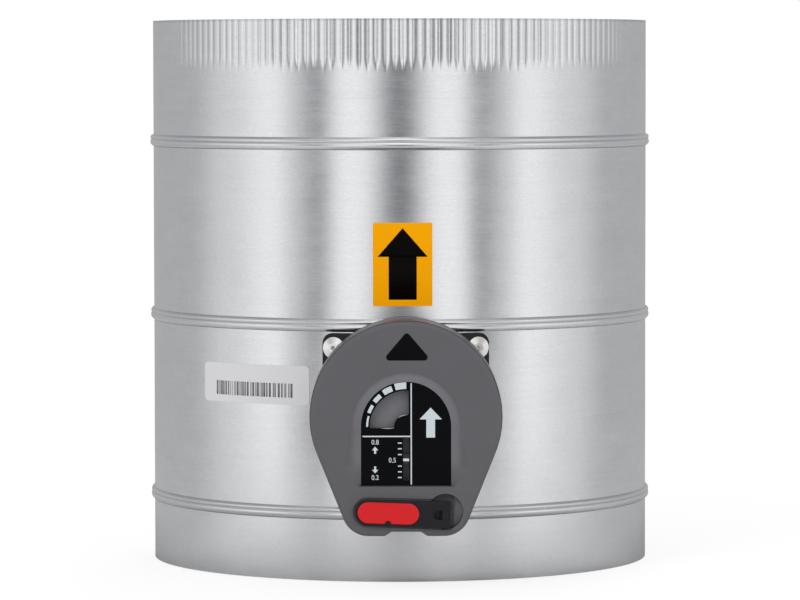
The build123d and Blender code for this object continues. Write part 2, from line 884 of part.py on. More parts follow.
def marker_slider():
    """The slider behind the slot: a white bar in front and a follower pin behind."""
    plate = Pos(0, scale_middle) * Rectangle(2 * slider_half, slider_height)
    slider = layer(plate, slider_front, slider_back)
    bar = Pos(0, scale_middle) * Rectangle(slot_width - marker_play, marker_height)
    slider += layer(bar, recess_depth + marker_sink, slider_front + fit_gap)
    pin = Pos(0, scale_middle) * Circle(follower_radius)
    return slider + layer(pin, slider_back - fit_gap, drum_front + spiral_cut - soft_gap)


# Crank


def side_profile(half_width, front, back, low, high):
    """A round-nosed block on the crank's hinge pin, between two heights."""
    pivot = Plane(
        origin=(head_x + crank_x, face_y + pin_depth, crank_height + low), x_dir=(1, 0, 0), z_dir=(0, 0, 1)
    )
    block = Pos(0, (front + back) / 2) * Rectangle(2 * half_width, back - front)
    return extrude(pivot * (Circle(half_width) + block), high - low)


def tongue_span():
    """Lowest and highest point of the hub's tongue, from the crank's axis."""
    return (-arm_drop - tongue_radius, -arm_drop + tongue_radius)


def crank_hub():
    """The hub in the cover's recess, with a tongue for the arm and the drive shaft."""
    keep = Pos(crank_disc_right - crank_disc, 0) * Rectangle(2 * crank_disc, 2 * crank_disc)
    hub = layer(at_crank(Circle(crank_disc) & keep), disc_front, disc_back)
    hub += layer(at_crank(Circle(crank_shaft)), disc_back - fit_gap, case_inside + crank_end)
    low, high = tongue_span()
    hub += side_profile(tongue_radius, 0, disc_front - pin_depth + fit_gap, low, high)
    hub -= layer(at_crank(crank_flat_cut(0)), drum_front - fit_gap, drum_front + tooth_width + cut_past)
    return hub - hinge_bore(fit_gap)


def crank_flat_cut(grow):
    """What is cut from the crank's shaft, or left in the pinion's bore, to key them."""
    return Pos(0, crank_flat + grow + crank_shaft / 2) * Rectangle(3 * crank_shaft, crank_shaft)


def hinge_bore(grow):
    """The hinge pin's own solid, grown for its bores."""
    low = -arm_drop - arm_half_width + pin_inset
    high = -arm_drop + arm_half_width - pin_inset
    foot = Plane(
        origin=(head_x + crank_x, face_y + pin_depth, crank_height + low), x_dir=(1, 0, 0), z_dir=(0, 0, 1)
    )
    return extrude(foot * Circle(pin_radius + grow), high - low)


def crank_arm():
    """The folding arm: a tapered bar with a fork round the hub's tongue."""
    arm = layer(arm_shape(0), -arm_front, -arm_back)
    arm = fillet(arm.faces().sort_by(Axis.Y)[0].outer_wire().edges(), arm_round)
    low = -arm_drop - arm_half_width + knuckle_inset
    high = -arm_drop + arm_half_width - knuckle_inset
    arm += side_profile(fork_end - 2 * fit_gap, 0, fit_gap, low, high)
    gap = tongue_radius + fit_gap
    slot_reach = fork_end + cut_past + fork_slot
    slot = Pos((fork_end + cut_past - fork_slot) / 2, -arm_drop)
    slot *= RectangleRounded(slot_reach, 2 * gap, fork_corner)
    arm -= layer(at_crank(slot), -arm_front - cut_past, 2 * cut_past)
    arm -= layer(badge_shape(badge_gap), -arm_front - cut_past, -arm_front + badge_sink)
    return arm - hinge_bore(fit_gap)


def badge_shape(grow):
    """The bare badge's outline: a stadium with a small bite in its lower edge."""
    badge = SlotOverall(badge_length + 2 * grow, badge_width + 2 * grow)
    badge -= Pos(0, -badge_width / 2) * Circle(badge_bite - grow)
    return at_crank(Pos(badge_x, -badge_drop) * Rot(0, 0, -arm_tilt) * badge)


def crank_badge():
    """The red badge, let into the arm's front."""
    badge = layer(badge_shape(0), -arm_front - badge_rise, -arm_front + badge_sink)
    return fillet(badge.faces().sort_by(Axis.Y)[0].outer_wire().edges(), badge_round)


def crank_pinion():
    """The small gear keyed on the crank's shaft."""
    gear = gear_outline(pinion_teeth, mesh_angle() + pi)
    bore = Circle(crank_shaft + fit_gap) - crank_flat_cut(fit_gap)
    return layer(at_crank(gear - bore), drum_front, drum_front + tooth_width)


save("duct_shell", duct_shell())
labels()
save("saddle", saddle())
fasten_saddle()
bushes()
blade_stops()
save("rear_case", rear_case())
case_screws()
save("front_cover", front_cover())
save("display_panel", display_panel())
save("blade_shaft", blade_shaft())
shaft_rings()
save("upper_skin", blade_skin(1))
save("lower_skin", blade_skin(-1))
blade_seal()
blade_clamps()
save("position_dial", position_dial())
save("spring_arbor", spring_arbor())
save("spring_drum", spring_drum())
save("clock_spring", clock_spring())
save("marker_slider", marker_slider())
save("crank_hub", crank_hub())
save("crank_arm", crank_arm())
save("crank_badge", crank_badge())
save("crank_pinion", crank_pinion())
save("hinge_pin", hinge_bore(0))
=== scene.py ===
import json
import math
import bpy
import numpy as np
from mathutils import Matrix, Vector


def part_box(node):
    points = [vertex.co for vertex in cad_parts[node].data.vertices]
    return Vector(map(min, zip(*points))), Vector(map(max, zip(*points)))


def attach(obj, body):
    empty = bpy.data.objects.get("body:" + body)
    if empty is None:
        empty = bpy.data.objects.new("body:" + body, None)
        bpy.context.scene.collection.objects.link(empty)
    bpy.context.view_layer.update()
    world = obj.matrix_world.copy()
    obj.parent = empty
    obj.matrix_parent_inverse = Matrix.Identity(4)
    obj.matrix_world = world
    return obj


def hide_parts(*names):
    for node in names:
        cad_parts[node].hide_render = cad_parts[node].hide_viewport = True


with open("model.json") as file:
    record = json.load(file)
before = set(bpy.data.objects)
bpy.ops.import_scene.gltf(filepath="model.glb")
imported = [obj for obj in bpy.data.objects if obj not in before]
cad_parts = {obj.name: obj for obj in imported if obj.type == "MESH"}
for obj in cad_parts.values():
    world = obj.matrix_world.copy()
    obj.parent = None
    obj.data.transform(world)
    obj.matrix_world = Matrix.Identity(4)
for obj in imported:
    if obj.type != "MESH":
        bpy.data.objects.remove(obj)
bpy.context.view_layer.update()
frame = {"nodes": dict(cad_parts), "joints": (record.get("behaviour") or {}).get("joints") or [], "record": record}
print("frame loaded:", len(frame["nodes"]), "nodes")

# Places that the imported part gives, in metres
mm = 0.001
joints = {joint["name"]: joint for joint in frame["joints"]}
mounts = {mount["name"]: mount for mount in frame["record"]["mounts"]}
shaftX, shaftZ = joints["blade_turn"]["pos_m"][::2]
crankX, crankZ = joints["crank_turn"]["pos_m"][::2]
ductRadius = mounts["outlet_collar"]["dims"]["r_mm"] * mm
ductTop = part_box("duct_shell")[1].z
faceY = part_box("front_cover")[0].y
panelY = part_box("display_panel")[0].y
random = np.random.default_rng(11)


# Nodes

def addNode(tree, kind, **settings):
    # a new node with its settings
    node = tree.nodes.new(kind)
    for name, value in settings.items():
        setattr(node, name, value)
    return node


def feed(tree, value, socket):
    # a constant goes on the socket itself, and an output is linked to it
    if isinstance(value, (int, float, tuple)):
        socket.default_value = value
    elif value is not None:
        tree.links.new(value, socket)


def mathNode(tree, operation, first, second=0.0, third=None):
    # a Math node on outputs or numbers
    node = addNode(tree, "ShaderNodeMath", operation=operation)
    for order, value in enumerate((first, second, third)):
        feed(tree, value, node.inputs[order])
    return node.outputs[0]


def vectorNode(tree, operation, *values):
    # a Vector Math node on outputs or constants; a number counts for all three axes
    node = addNode(tree, "ShaderNodeVectorMath", operation=operation)
    for order, value in enumerate(values):
        feed(tree, value, node.inputs[order])
    return node.outputs["Value" if operation == "LENGTH" else "Vector"]


def splitNode(tree, vector):
    # a vector's X, Y and Z
    node = addNode(tree, "ShaderNodeSeparateXYZ")
    feed(tree, vector, node.inputs[0])
    return node.outputs


def spread(tree, value, low, high, start=0.0, end=1.0):
    # eases from start to end as the value goes from low to high
    node = addNode(tree, "ShaderNodeMapRange", interpolation_type="SMOOTHSTEP")
    feed(tree, value, node.inputs["Value"])
    limits = {"From Min": low, "From Max": high, "To Min": start, "To Max": end}
    for name, number in limits.items():
        feed(tree, number, node.inputs[name])
    return node.outputs["Result"]


# Camera, backdrop and light

cameraView = {
    "lens": 198.27,
    "sensor": 36.0,
    "place": (0.14 * mm, -3190 * mm, 355.5 * mm),
    "tiltDown": 0.05359,   # radians
    "roll": -0.0015,
}


def makeCamera():
    # it looks along Y, tilted down and then rolled about its own axis
    camera = bpy.data.cameras.new("camera")
    camera.lens = cameraView["lens"]
    camera.sensor_width = cameraView["sensor"]
    holder = bpy.data.objects.new("camera", camera)
    turn = Matrix.Rotation(math.pi / 2 - cameraView["tiltDown"], 4, "X")
    turn = turn @ Matrix.Rotation(cameraView["roll"], 4, "Z")
    holder.matrix_world = Matrix.Translation(cameraView["place"]) @ turn
    bpy.context.scene.collection.objects.link(holder)
    bpy.context.scene.camera = holder


studio = {
    "ambient": 0.72,
    "coolest": (0.90, 0.945, 1.02),   # colour of a black wall's reflection, against white
    "coolBelow": 0.55,                # level of a reflected wall under which it turns cool
    # brightness round the set: degrees away from the camera, level
    "walls": (
        (0, 0.075), (17.5, 0.98), (27, 1.0), (37.5, 0.22), (49, 0.60),
        (59, 0.96), (86, 0.68), (112, 0.44), (180, 0.43),
    ),
    "above": ((0, 1.10), (20, 0.75), (45, 0.52), (90, 0.38), (140, 0.32), (180, 0.32)),
    "below": ((0, 0.58), (50, 0.46), (90, 0.38), (180, 0.34)),
    "slant": (0.16, 0.45),   # a direction's |z| where above and below begin and are whole
    "lamps": {   # place, width, power in watts
        "keyLamp": ((-1.7, -2.3, 2.5), 1.6, 44.0),
        "fillLamp": ((2.2, -2.0, 1.3), 1.8, 20.0),
        "backLamp": ((0.6, 2.4, 2.2), 1.6, 30.0),
    },
}


def levels(tree, turn, stops):
    # a brightness for each share of a half turn, eased from stop to stop
    node = addNode(tree, "ShaderNodeValToRGB")
    feed(tree, turn, node.inputs["Fac"])
    ramp = node.color_ramp
    ramp.interpolation = "EASE"
    while len(ramp.elements) < len(stops):
        ramp.elements.new(0.5)
    for element, (degrees, level) in zip(ramp.elements, stops):
        element.position = degrees / 180
        element.color = (level, level, level, 1)
    return mathNode(tree, "MULTIPLY", node.outputs["Color"], 1.0)   # the grey as a number


def makeWorld():
    # camera rays see white; glossy rays see walls of light and shade round the set, turning to
    # a light ceiling and a shaded floor: level = walls + upper * (above - walls)
    # + lower * (below - walls); the rest is even light
    world = bpy.data.worlds.new("studio")
    world.use_nodes = True
    world.cycles.sampling_method = "NONE"   # so that every reflection takes the glossy branch
    bpy.context.scene.world = world
    tree = world.node_tree
    background = tree.nodes["Background"]
    split = splitNode(tree, addNode(tree, "ShaderNodeTexCoord").outputs["Generated"])
    towards = mathNode(tree, "MULTIPLY", split["Y"], -1.0)
    angle = mathNode(tree, "ABSOLUTE", mathNode(tree, "ARCTAN2", split["X"], towards))
    turn = mathNode(tree, "DIVIDE", angle, math.pi)
    wallLevel = levels(tree, turn, studio["walls"])
    level = wallLevel
    start, whole = studio["slant"]
    for name, sign in (("above", 1), ("below", -1)):
        share = spread(tree, split["Z"], sign * start, sign * whole)
        change = mathNode(tree, "SUBTRACT", levels(tree, turn, studio[name]), wallLevel)
        level = mathNode(tree, "MULTIPLY_ADD", share, change, level)
    rays = addNode(tree, "ShaderNodeLightPath").outputs
    glossy = mathNode(tree, "MAXIMUM", rays["Is Glossy Ray"], rays["Is Transmission Ray"])
    change = mathNode(tree, "SUBTRACT", level, studio["ambient"])
    seen = mathNode(tree, "MULTIPLY_ADD", glossy, change, studio["ambient"])
    change = mathNode(tree, "SUBTRACT", 1.0, seen)
    seen = mathNode(tree, "MULTIPLY_ADD", rays["Is Camera Ray"], change, seen)
    feed(tree, seen, background.inputs["Strength"])
    # the darker a reflected wall is, the cooler: coolest + (1 - coolest) * level / coolBelow
    share = mathNode(tree, "DIVIDE", level, studio["coolBelow"])
    share = mathNode(tree, "MAXIMUM", share, mathNode(tree, "SUBTRACT", 1.0, glossy))
    share = mathNode(tree, "MINIMUM", share, 1.0)
    missing = tuple(1 - channel for channel in studio["coolest"])
    tint = vectorNode(tree, "MULTIPLY_ADD", share, missing, studio["coolest"])
    feed(tree, tint, background.inputs["Color"])


def makeLamps():
    # area lamps that face the middle of the duct
    for name, (spot, width, power) in studio["lamps"].items():
        lamp = bpy.data.lights.new(name, "AREA")
        lamp.size = width
        lamp.energy = power
        holder = bpy.data.objects.new(name, lamp)
        holder.location = spot
        aim = Vector((0, 0, ductTop / 2)) - holder.location
        holder.rotation_euler = aim.to_track_quat("-Z", "Y").to_euler()
        holder.visible_glossy = False   # the walls of light give the reflections
        bpy.context.scene.collection.objects.link(holder)


# Meshes

def putMesh(name, points, quads):
    # a mesh from an array of points and an array of four corners for each face
    mesh = bpy.data.meshes.new(name)
    mesh.vertices.add(len(points))
    mesh.vertices.foreach_set("co", np.ascontiguousarray(points, float).ravel())
    mesh.loops.add(quads.size)
    mesh.loops.foreach_set("vertex_index", quads.ravel())
    mesh.polygons.add(len(quads))
    mesh.polygons.foreach_set("loop_start", np.arange(0, quads.size, 4))
    mesh.update(calc_edges=True)
    mesh.validate()
    return mesh


def smooth(mesh, sharpDegrees):
    # smooth shading, apart from the edges that bend by more than the angle
    mesh.polygons.foreach_set("use_smooth", np.ones(len(mesh.polygons), bool))
    mesh.set_sharp_from_angle(angle=math.radians(sharpDegrees))


def gridQuads(rows, columns, roundRows=False, roundColumns=False):
    # each quad takes a grid point, its neighbour along the row, and the two of the next row
    first = np.arange(rows * columns).reshape(rows, columns)
    beside = np.roll(first, -1, axis=1)
    below = np.roll(first, -1, axis=0)
    quads = np.stack([first, beside, np.roll(beside, -1, axis=0), below], axis=-1)
    if not roundRows:
        quads = quads[:-1]
    if not roundColumns:
        quads = quads[:, :-1]
    return quads.reshape(-1, 4)


def place(name, mesh, material, body, slot, *replaced):
    # a piece on its body, hiding the nodes that it stands for
    mesh.materials.append(material)
    piece = bpy.data.objects.new(name, mesh)
    bpy.context.scene.collection.objects.link(piece)
    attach(piece, body)
    if replaced:
        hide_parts(*replaced)
    return piece


# Duct

duct = {   # millimetres
    "sheet": 0.8,
    "columns": 360,
    "sharpFrom": 50,         # degrees
    "beadFeet": (42.7, 172.1, 296.7),
    # each rib's arc: start, end and middle over the bead's foot, out from the wall, radius
    "ribs": ((0.0, 5.0, 3.07, -0.83, 3.18), (5.0, 8.2, 6.313, 0.309, 1.912)),
    "ribBlur": 0.15,         # height over which a crease between ribs is rounded, up and down
    "collarFoot": 331.5,
    "footRow": 0.5,
    "plainRows": 24,
    "beadSpan": (-1.0, 9.2),   # close rows, from and to this height over a bead's foot
    "beadStep": 0.25,        # between them outside, and half of what it is inside
    "leastStep": 0.2,
    # painted shade along each bead's creases: at its foot, between its ribs and at its top
    "creaseShade": ((0.0, 0.56), (5.0, 0.30), (8.2, 0.14)),   # height over a bead's foot, how dark
    "creaseReach": 0.42,
    "waviness": 0.12,
    # slow waves of the sheet: how many round the tube, height for a radian, start in radians
    "waves": ((5, 60, 0.0), (9, -41, 1.3), (14, 23, 0.6)),
}

crimp = {   # millimetres
    "flutes": 180,
    "pointsPerFlute": 12,
    "foot": 349.5,
    "depth": 0.42,
    "ramp": 11.0,          # height over which a flute reaches its depth
    "narrowing": 1.5,
    "footScatter": 0.7,
    "depthScatter": 0.12,
    "depthLimits": (0.6, 1.4),   # of the depth
    "turnScatter": 0.05,   # of a flute's width
    "leanScatter": 0.06,   # how much further one flank leans than the other
    "leanLimit": 2,        # of the scatter
    "rows": 20,
    "innerRows": 8,
    "plainUnder": 4,       # from the lowest fluted row to the flutes' feet
    "collarRows": (0.0, 0.4, 9.0),   # over the collar's foot
    "tuck": 0.06,          # how far the collar's foot turns in
    "under": 0.05,         # how far the collar lies in from the duct's radius
    "rimDark": 0.25,
    "rimHeight": 0.3,
}


def beadRise(heights):
    # each rib is an arc from its start to its end: out + sqrt(radius^2 - (height - middle)^2)
    rise = np.zeros_like(heights)
    for foot in duct["beadFeet"]:
        for start, end, middle, out, radius in duct["ribs"]:
            over = heights - foot
            arc = out + np.sqrt(np.maximum(radius**2 - (over - middle)**2, 0))
            rise = np.where((over > start) & (over <= end), np.maximum(arc, 0), rise)
    return rise


def softRise(heights):
    # the mean of the ribs' rise here, a little above and a little below, which rounds creases
    blur = duct["ribBlur"]
    return np.mean([beadRise(heights + shift) for shift in (-blur, 0.0, blur)], axis=0)


def creases(heights):
    # how dark the painted shade in each bead's creases is: strength * (1 - (t / reach)^2), never below 0
    dark = np.zeros_like(heights)
    for foot in duct["beadFeet"]:
        for over, strength in duct["creaseShade"]:
            share = (heights - foot - over) / duct["creaseReach"]
            dark = np.maximum(dark, strength * (1 - share**2))
    return dark


def ductRows(step):
    # heights up the wall, close together at each bead
    top = duct["collarFoot"]
    spots = [np.array([0.0, duct["footRow"], top]), np.linspace(0, top, duct["plainRows"])]
    spots += [foot + np.arange(*duct["beadSpan"], step) for foot in duct["beadFeet"]]
    heights = np.unique(np.round(np.concatenate(spots), 3))
    return heights[np.concatenate([[True], np.diff(heights) > duct["leastStep"]])]


def sheetWaves(azimuth, height):
    # slow waves, only inwards, as a rolled sheet has: -waviness * (1 + mean sine) / 2, each sine
    # being sin(count * azimuth + height / span + start)
    waves = [
        np.sin(count * azimuth + height / span + start) for count, span, start in duct["waves"]
    ]
    return -duct["waviness"] * (1 + np.mean(waves, axis=0)) / 2


def sheetFaces(outer, inner):
    # heights up the outside and down the inside, and how far in the sheet's faces lie
    heights = np.concatenate([outer, inner])[:, None]
    inset = np.where(np.arange(len(heights)) < len(outer), 0, duct["sheet"])[:, None]
    return heights, inset


def placeSheet(name, heights, azimuth, radius, dark, material):
    # a closed sheet round the axis: (radius * cos azimuth, radius * sin azimuth, height)
    points = np.stack(
        [radius * np.cos(azimuth), radius * np.sin(azimuth), heights + 0 * azimuth], axis=-1
    )
    quads = gridQuads(len(heights), azimuth.shape[1], roundRows=True, roundColumns=True)
    mesh = putMesh(name, points.reshape(-1, 3) * mm, quads)
    # painted shade for each point, which the sheet's group darkens the colour by
    crease = mesh.attributes.new("crease", "FLOAT", "POINT")
    crease.data.foreach_set("value", np.ascontiguousarray(dark + 0 * azimuth, float).ravel())
    smooth(mesh, duct["sharpFrom"])
    place(name, mesh, material, "duct", "galvanised_sheet", "duct_shell")


def makeTube(material):
    # radius(height, azimuth) = duct radius + ribs + waves
    heights, inset = sheetFaces(ductRows(duct["beadStep"]), ductRows(2 * duct["beadStep"])[::-1])
    azimuth = np.linspace(0, 2 * math.pi, duct["columns"], endpoint=False)[None, :]
    radius = ductRadius / mm - inset + softRise(heights) + sheetWaves(azimuth, heights)
    placeSheet("ductTube", heights, azimuth, radius, creases(heights), material)


def fluteCut(heights):
    # a flute is a groove between two rounded pleats, a point at its foot and wider as it deepens:
    # cut = depth * ramp * (1 - t) ^ (2 * (1 + narrowing * (1 - ramp))), with t 0 in the groove
    # and 1 on the pleat; ramp = 3 h^2 - 2 h^3, with h 0 at its foot and 1 where it is whole
    count = crimp["flutes"]
    each = crimp["pointsPerFlute"]
    scatter = random.standard_normal((4, count))
    foot = crimp["foot"] + crimp["footScatter"] * scatter[0]
    depth = np.clip(1 + crimp["depthScatter"] * scatter[1], *crimp["depthLimits"])
    depth = crimp["depth"] * depth
    flute = np.repeat(np.arange(count), each)
    lean = np.clip(scatter[3], -crimp["leanLimit"], crimp["leanLimit"])[flute]
    middle = 0.5 + crimp["leanScatter"] * lean / 2
    share = np.tile(np.arange(each) / each, count)
    across = np.where(share < middle, (middle - share) / middle, (share - middle) / (1 - middle))
    rise = np.clip((heights - foot[flute]) / crimp["ramp"], 0, 1)
    ramp = rise**2 * (3 - 2 * rise)
    cut = ramp * (1 - across) ** (2 * (1 + crimp["narrowing"] * (1 - ramp)))
    return depth[flute] * cut, scatter[2][flute]


def makeCollar(material):
    # radius(height, azimuth) = duct radius - flute cut, on columns that wander a little sideways
    each = crimp["pointsPerFlute"]
    columns = crimp["flutes"] * each
    top = ductTop / mm
    foot = duct["collarFoot"]
    lowest = crimp["foot"] - crimp["plainUnder"]
    outer = [foot + np.array(crimp["collarRows"]), np.linspace(lowest, top, crimp["rows"])]
    inner = [np.linspace(top, lowest, crimp["innerRows"]), [foot]]
    heights, inset = sheetFaces(np.concatenate(outer), np.concatenate(inner))
    cut, wander = fluteCut(heights)
    share = np.tile(np.arange(each) / each, crimp["flutes"])
    shift = crimp["turnScatter"] * wander * 2 * math.pi / crimp["flutes"]
    azimuth = np.linspace(0, 2 * math.pi, columns, endpoint=False)
    azimuth = (azimuth + shift * np.sin(math.pi * share))[None, :]
    edge = np.where(heights == foot, crimp["tuck"], 0)
    radius = ductRadius / mm - crimp["under"] - inset - edge - cut
    dark = crimp["rimDark"] * (heights > top - crimp["rimHeight"])
    placeSheet("ductCollar", heights, azimuth, radius, dark, material)


# Materials

finishes = {
    "metals": {   # colour, roughness, scale, cloud, streak, bump depth in metres
        "galvanised_sheet": ((0.876, 0.882, 0.902), 0.225, 1.0, 0.13, 0.12, 1e-6),
        "bright_aluminium": ((0.93, 0.92, 0.90), 0.22, 3.0, 0.06, 0.05, 1e-6),
        "zinc_steel": ((0.66, 0.67, 0.68), 0.30, 4.0, 0.15, 0.08, 2e-6),
        "spring_steel": ((0.36, 0.37, 0.40), 0.32, 4.0, 0.15, 0.10, 2e-6),
    },
    "plastics": {   # colour, roughness, specular level, grain, shade, bump depth in metres
        "grey_plastic": ((0.095, 0.0935, 0.103), 0.44, 0.5, 2600.0, 0.10, 1.2e-5),
        "dial_grey": ((0.150, 0.149, 0.164), 0.46, 0.5, 2600.0, 0.10, 1.2e-5),
        "dark_plastic": ((0.088, 0.088, 0.094), 0.45, 0.5, 2600.0, 0.10, 1.2e-5),
        "black_plastic": ((0.0105, 0.011, 0.0135), 0.42, 0.28, 2200.0, 0.25, 1.5e-5),
        "black_print": ((0.0028, 0.003, 0.0042), 0.34, 0.07, 900.0, 0.10, 2e-6),
        "white_plastic": ((0.86, 0.87, 0.88), 0.40, 0.5, 2600.0, 0.03, 4e-6),
        "red_plastic": ((0.62, 0.012, 0.016), 0.34, 0.25, 1500.0, 0.05, 4e-6),
        "nylon": ((0.72, 0.70, 0.64), 0.42, 0.5, 1500.0, 0.05, 6e-6),
        "rubber": ((0.022, 0.022, 0.023), 0.72, 0.4, 1200.0, 0.20, 2e-5),
        "yellow_label": ((0.86, 0.355, 0.001), 0.42, 0.03, 900.0, 0.06, 4e-6),
        "white_label": ((0.64, 0.64, 0.665), 0.38, 0.3, 900.0, 0.03, 4e-6),
        "pale_ink": ((0.54, 0.60, 0.63), 0.45, 0.2, 900.0, 0.06, 2e-6),
        "black_ink": ((0.003, 0.0026, 0.002), 0.45, 0.03, 900.0, 0.10, 2e-6),
        # the colour of the painted highlight on the window's edge
        "lit_edge": ((0.42, 0.43, 0.45), 0.35, 0.4, 900.0, 0.06, 2e-6),
        "grey_ink": ((0.145, 0.145, 0.142), 0.45, 0.2, 900.0, 0.10, 2e-6),
    },
    # painted highlight on the edges of these finishes
    "edgeHighlights": {"black_print": 30.0},   # how much paler on their edges
    "twoTones": {   # base, depth from the cover's face in millimetres, tone before it and behind
        "marker_white": ("white_plastic", 5.9, 0.62, 0.045),
        "hub_grey": ("black_plastic", 3.6, 0.0115, 0.062),
    },
    "ofOneNode": {
        "front_cover": "cover_grey",
        "position_dial": "dial_grey",
        "marker_slider": "marker_white",
        "crank_hub": "hub_grey",
    },
}

sheetTexture = {
    "noises": {   # how often it repeats in a metre on each axis, detail, roughness
        "streaks": ((16, 16, 330), 4.0, 0.55),
        "clouds": ((26, 26, 62), 4.0, 0.6),
        "fine": ((60, 60, 2600), 2.0, 0.55),
        "strokes": ((330, 330, 1150), 2.0, 0.6),
    },
    "toneOfStreak": {"streaks": 0.6, "strokes": 1.4},
    "roughBy": {"fine": 0.10, "clouds": 0.12},
    "fineHeight": 0.5,
}

grainTexture = {
    "pebbleDetail": 2.0,
    "slowScale": 45.0,
    "slowDetail": 3.0,
    "slowRough": 0.15,
    # where the painted edge highlight is whole
    "edgeFull": 0.06,   # value of 1 - y^2 from which a normal counts as an edge's
}


def newMaterial(name, colour, roughness, **values):
    # a Principled material with its constants on the shader's own sockets
    material = bpy.data.materials.new(name)
    material.use_nodes = True
    shader = material.node_tree.nodes["Principled BSDF"]
    shader.inputs["Base Color"].default_value = (*colour, 1)
    shader.inputs["Roughness"].default_value = roughness
    for socket, value in values.items():
        shader.inputs[socket.replace("_", " ")].default_value = value
    return material


def newGroup(name, **numbers):
    # a node group: a colour and the named numbers in, a colour, a roughness and a height out
    tree = bpy.data.node_groups.new(name, "ShaderNodeTree")
    sockets = tree.interface
    for way in ("INPUT", "OUTPUT"):
        sockets.new_socket("Colour", in_out=way, socket_type="NodeSocketColor")
    for label, value in numbers.items():
        socket = sockets.new_socket(label, in_out="INPUT", socket_type="NodeSocketFloat")
        socket.default_value = value
    for label in ("Roughness", "Height"):
        sockets.new_socket(label, in_out="OUTPUT", socket_type="NodeSocketFloat")
    start = addNode(tree, "NodeGroupInput").outputs
    end = addNode(tree, "NodeGroupOutput").inputs
    return tree, start, end


def noise(tree, vector, scale, detail, rough=0.55):
    # a Noise Texture's value, 0.5 on average
    node = addNode(tree, "ShaderNodeTexNoise")
    settings = {"Vector": vector, "Scale": scale, "Detail": detail, "Roughness": rough}
    for name, value in settings.items():
        feed(tree, value, node.inputs[name])
    return node.outputs["Fac"]


def varied(tree, start, texture, amount):
    # start + amount * (texture - 0.5)
    return mathNode(tree, "MULTIPLY_ADD", mathNode(tree, "SUBTRACT", texture, 0.5), amount, start)


def sheetAndCreaseShadeGroup():
    # tone = 1 + cloud * soft spangle + streak * (long rolling streaks + short brushed strokes), then times
    # 1 - the mesh's own crease attribute: painted shade in the beads' creases and a darker collar rim; fine
    # strokes and streaks give the height
    tree, start, end = newGroup("sheetAndCreaseShade", Scale=1.0, Cloud=0.1, Streak=0.1, Roughness=0.3)
    where = addNode(tree, "ShaderNodeTexCoord").outputs["Object"]
    where = vectorNode(tree, "MULTIPLY", where, start["Scale"])
    noises = {
        name: noise(tree, vectorNode(tree, "MULTIPLY", where, stretch), 1.0, detail, rough)
        for name, (stretch, detail, rough) in sheetTexture["noises"].items()
    }
    tone = varied(tree, 1.0, noises["clouds"], start["Cloud"])
    for name, share in sheetTexture["toneOfStreak"].items():
        amount = mathNode(tree, "MULTIPLY", start["Streak"], share)
        tone = varied(tree, tone, noises[name], amount)
    # the painted shade kept on the mesh
    crease = addNode(tree, "ShaderNodeAttribute", attribute_name="crease").outputs["Fac"]
    tone = mathNode(tree, "MULTIPLY", tone, mathNode(tree, "SUBTRACT", 1.0, crease))
    feed(tree, vectorNode(tree, "MULTIPLY", start["Colour"], tone), end["Colour"])
    rough = start["Roughness"]
    for name, share in sheetTexture["roughBy"].items():
        rough = varied(tree, rough, noises[name], share)
    feed(tree, rough, end["Roughness"])
    fine, streaks = noises["fine"], noises["streaks"]
    height = mathNode(tree, "MULTIPLY_ADD", fine, sheetTexture["fineHeight"], streaks)
    feed(tree, height, end["Height"])
    return tree


def grainAndEdgeHighlightGroup():
    # a fine pebbled texture with a faint slow change of tone, and a painted highlight that makes it paler by the
    # share of edge where the surface turns from the front: tone * (1 + edge * min(1, (1 - y^2) / edgeFull))
    tree, start, end = newGroup("grainAndEdgeHighlight", Grain=1800.0, Shade=0.1, Edge=0.0, Roughness=0.5)
    surface = addNode(tree, "ShaderNodeTexCoord").outputs
    facing = splitNode(tree, surface["Normal"])["Y"]
    aside = mathNode(tree, "SUBTRACT", 1.0, mathNode(tree, "MULTIPLY", facing, facing))
    aside = mathNode(tree, "DIVIDE", aside, grainTexture["edgeFull"])
    aside = mathNode(tree, "MINIMUM", aside, 1.0)
    edge = mathNode(tree, "MULTIPLY_ADD", aside, start["Edge"], 1.0)
    where = surface["Object"]
    pebbles = noise(tree, where, start["Grain"], grainTexture["pebbleDetail"])
    slow = noise(tree, where, grainTexture["slowScale"], grainTexture["slowDetail"])
    tone = varied(tree, 1.0, slow, start["Shade"])
    tone = varied(tree, tone, pebbles, start["Shade"])
    tone = mathNode(tree, "MULTIPLY", tone, edge)
    feed(tree, vectorNode(tree, "MULTIPLY", start["Colour"], tone), end["Colour"])
    rough = varied(tree, start["Roughness"], slow, grainTexture["slowRough"])
    feed(tree, rough, end["Roughness"])
    feed(tree, pebbles, end["Height"])
    return tree


def dress(material, group, bumpDepth, **values):
    # feeds a shared group's colour, roughness and height into the material's own shader
    tree = material.node_tree
    shader = tree.nodes["Principled BSDF"]
    node = addNode(tree, "ShaderNodeGroup", node_tree=group)
    node.inputs["Colour"].default_value = shader.inputs["Base Color"].default_value
    node.inputs["Roughness"].default_value = shader.inputs["Roughness"].default_value
    for name, value in values.items():
        node.inputs[name].default_value = value
    feed(tree, node.outputs["Colour"], shader.inputs["Base Color"])
    feed(tree, node.outputs["Roughness"], shader.inputs["Roughness"])
    bump = addNode(tree, "ShaderNodeBump")
    bump.inputs["Distance"].default_value = bumpDepth
    bump.inputs["Strength"].default_value = 1.0
    feed(tree, node.outputs["Height"], bump.inputs["Height"])
    feed(tree, bump.outputs["Normal"], shader.inputs["Normal"])
    return material


